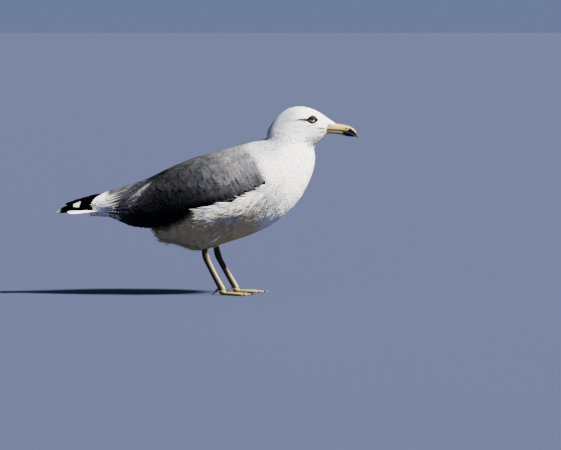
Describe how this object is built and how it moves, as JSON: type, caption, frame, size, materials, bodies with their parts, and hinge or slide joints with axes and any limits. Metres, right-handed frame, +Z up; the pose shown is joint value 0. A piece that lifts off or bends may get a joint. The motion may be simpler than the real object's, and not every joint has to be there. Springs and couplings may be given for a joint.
{
  "type": "gull",
  "caption": "Life-size standing gull: white head and body, grey folded wings, black wing tips with a white spot, banded yellow bill, yellow webbed feet.",
  "frame": {"origin": "on the floor, under the middle of the bird, halfway from bill tip to wing tip", "axes": "+X towards the bill, +Y towards the bird's left side, +Z up"},
  "size_m": [0.5591, 0.1516, 0.3469],
  "materials": {
    "plumage_white": "soft matt white feathers, warmer below and dusky about the eye",
    "plumage_tail": "long smooth white tail feathers",
    "plumage_grey": "matt mid-grey feathers with paler edges, broad white tips at the rear",
    "plumage_black": "smooth black flight feathers with a white spot and small white tips",
    "bill_horn": "satin yellow horn with a black band near the tip",
    "eye": "wet pale yellow iris round a black pupil",
    "leg_skin": "pale straw-yellow scaly skin",
    "claw_horn": "dark horn"
  },
  "bodies": {
    "root": {"head": "plumage_white", "neck": "plumage_white", "trunk": "plumage_white", "thigh_left": "plumage_white", "thigh_right": "plumage_white", "tail": "plumage_tail", "mantle": "plumage_grey", "wing_left": "plumage_grey", "wing_right": "plumage_grey", "primaries_left": "plumage_black", "primaries_right": "plumage_black", "bill_upper": "bill_horn", "bill_lower": "bill_horn", "eye_left": "eye", "eye_right": "eye", "leg_left": "leg_skin", "leg_right": "leg_skin", "foot_left": "leg_skin", "foot_right": "leg_skin", "hind_toe_left": "leg_skin", "hind_toe_right": "leg_skin", "claw_inner_left": "claw_horn", "claw_middle_left": "claw_horn", "claw_outer_left": "claw_horn", "claw_hind_left": "claw_horn", "claw_inner_right": "claw_horn", "claw_middle_right": "claw_horn", "claw_outer_right": "claw_horn", "claw_hind_right": "claw_horn"}
  },
  "joints": []
}
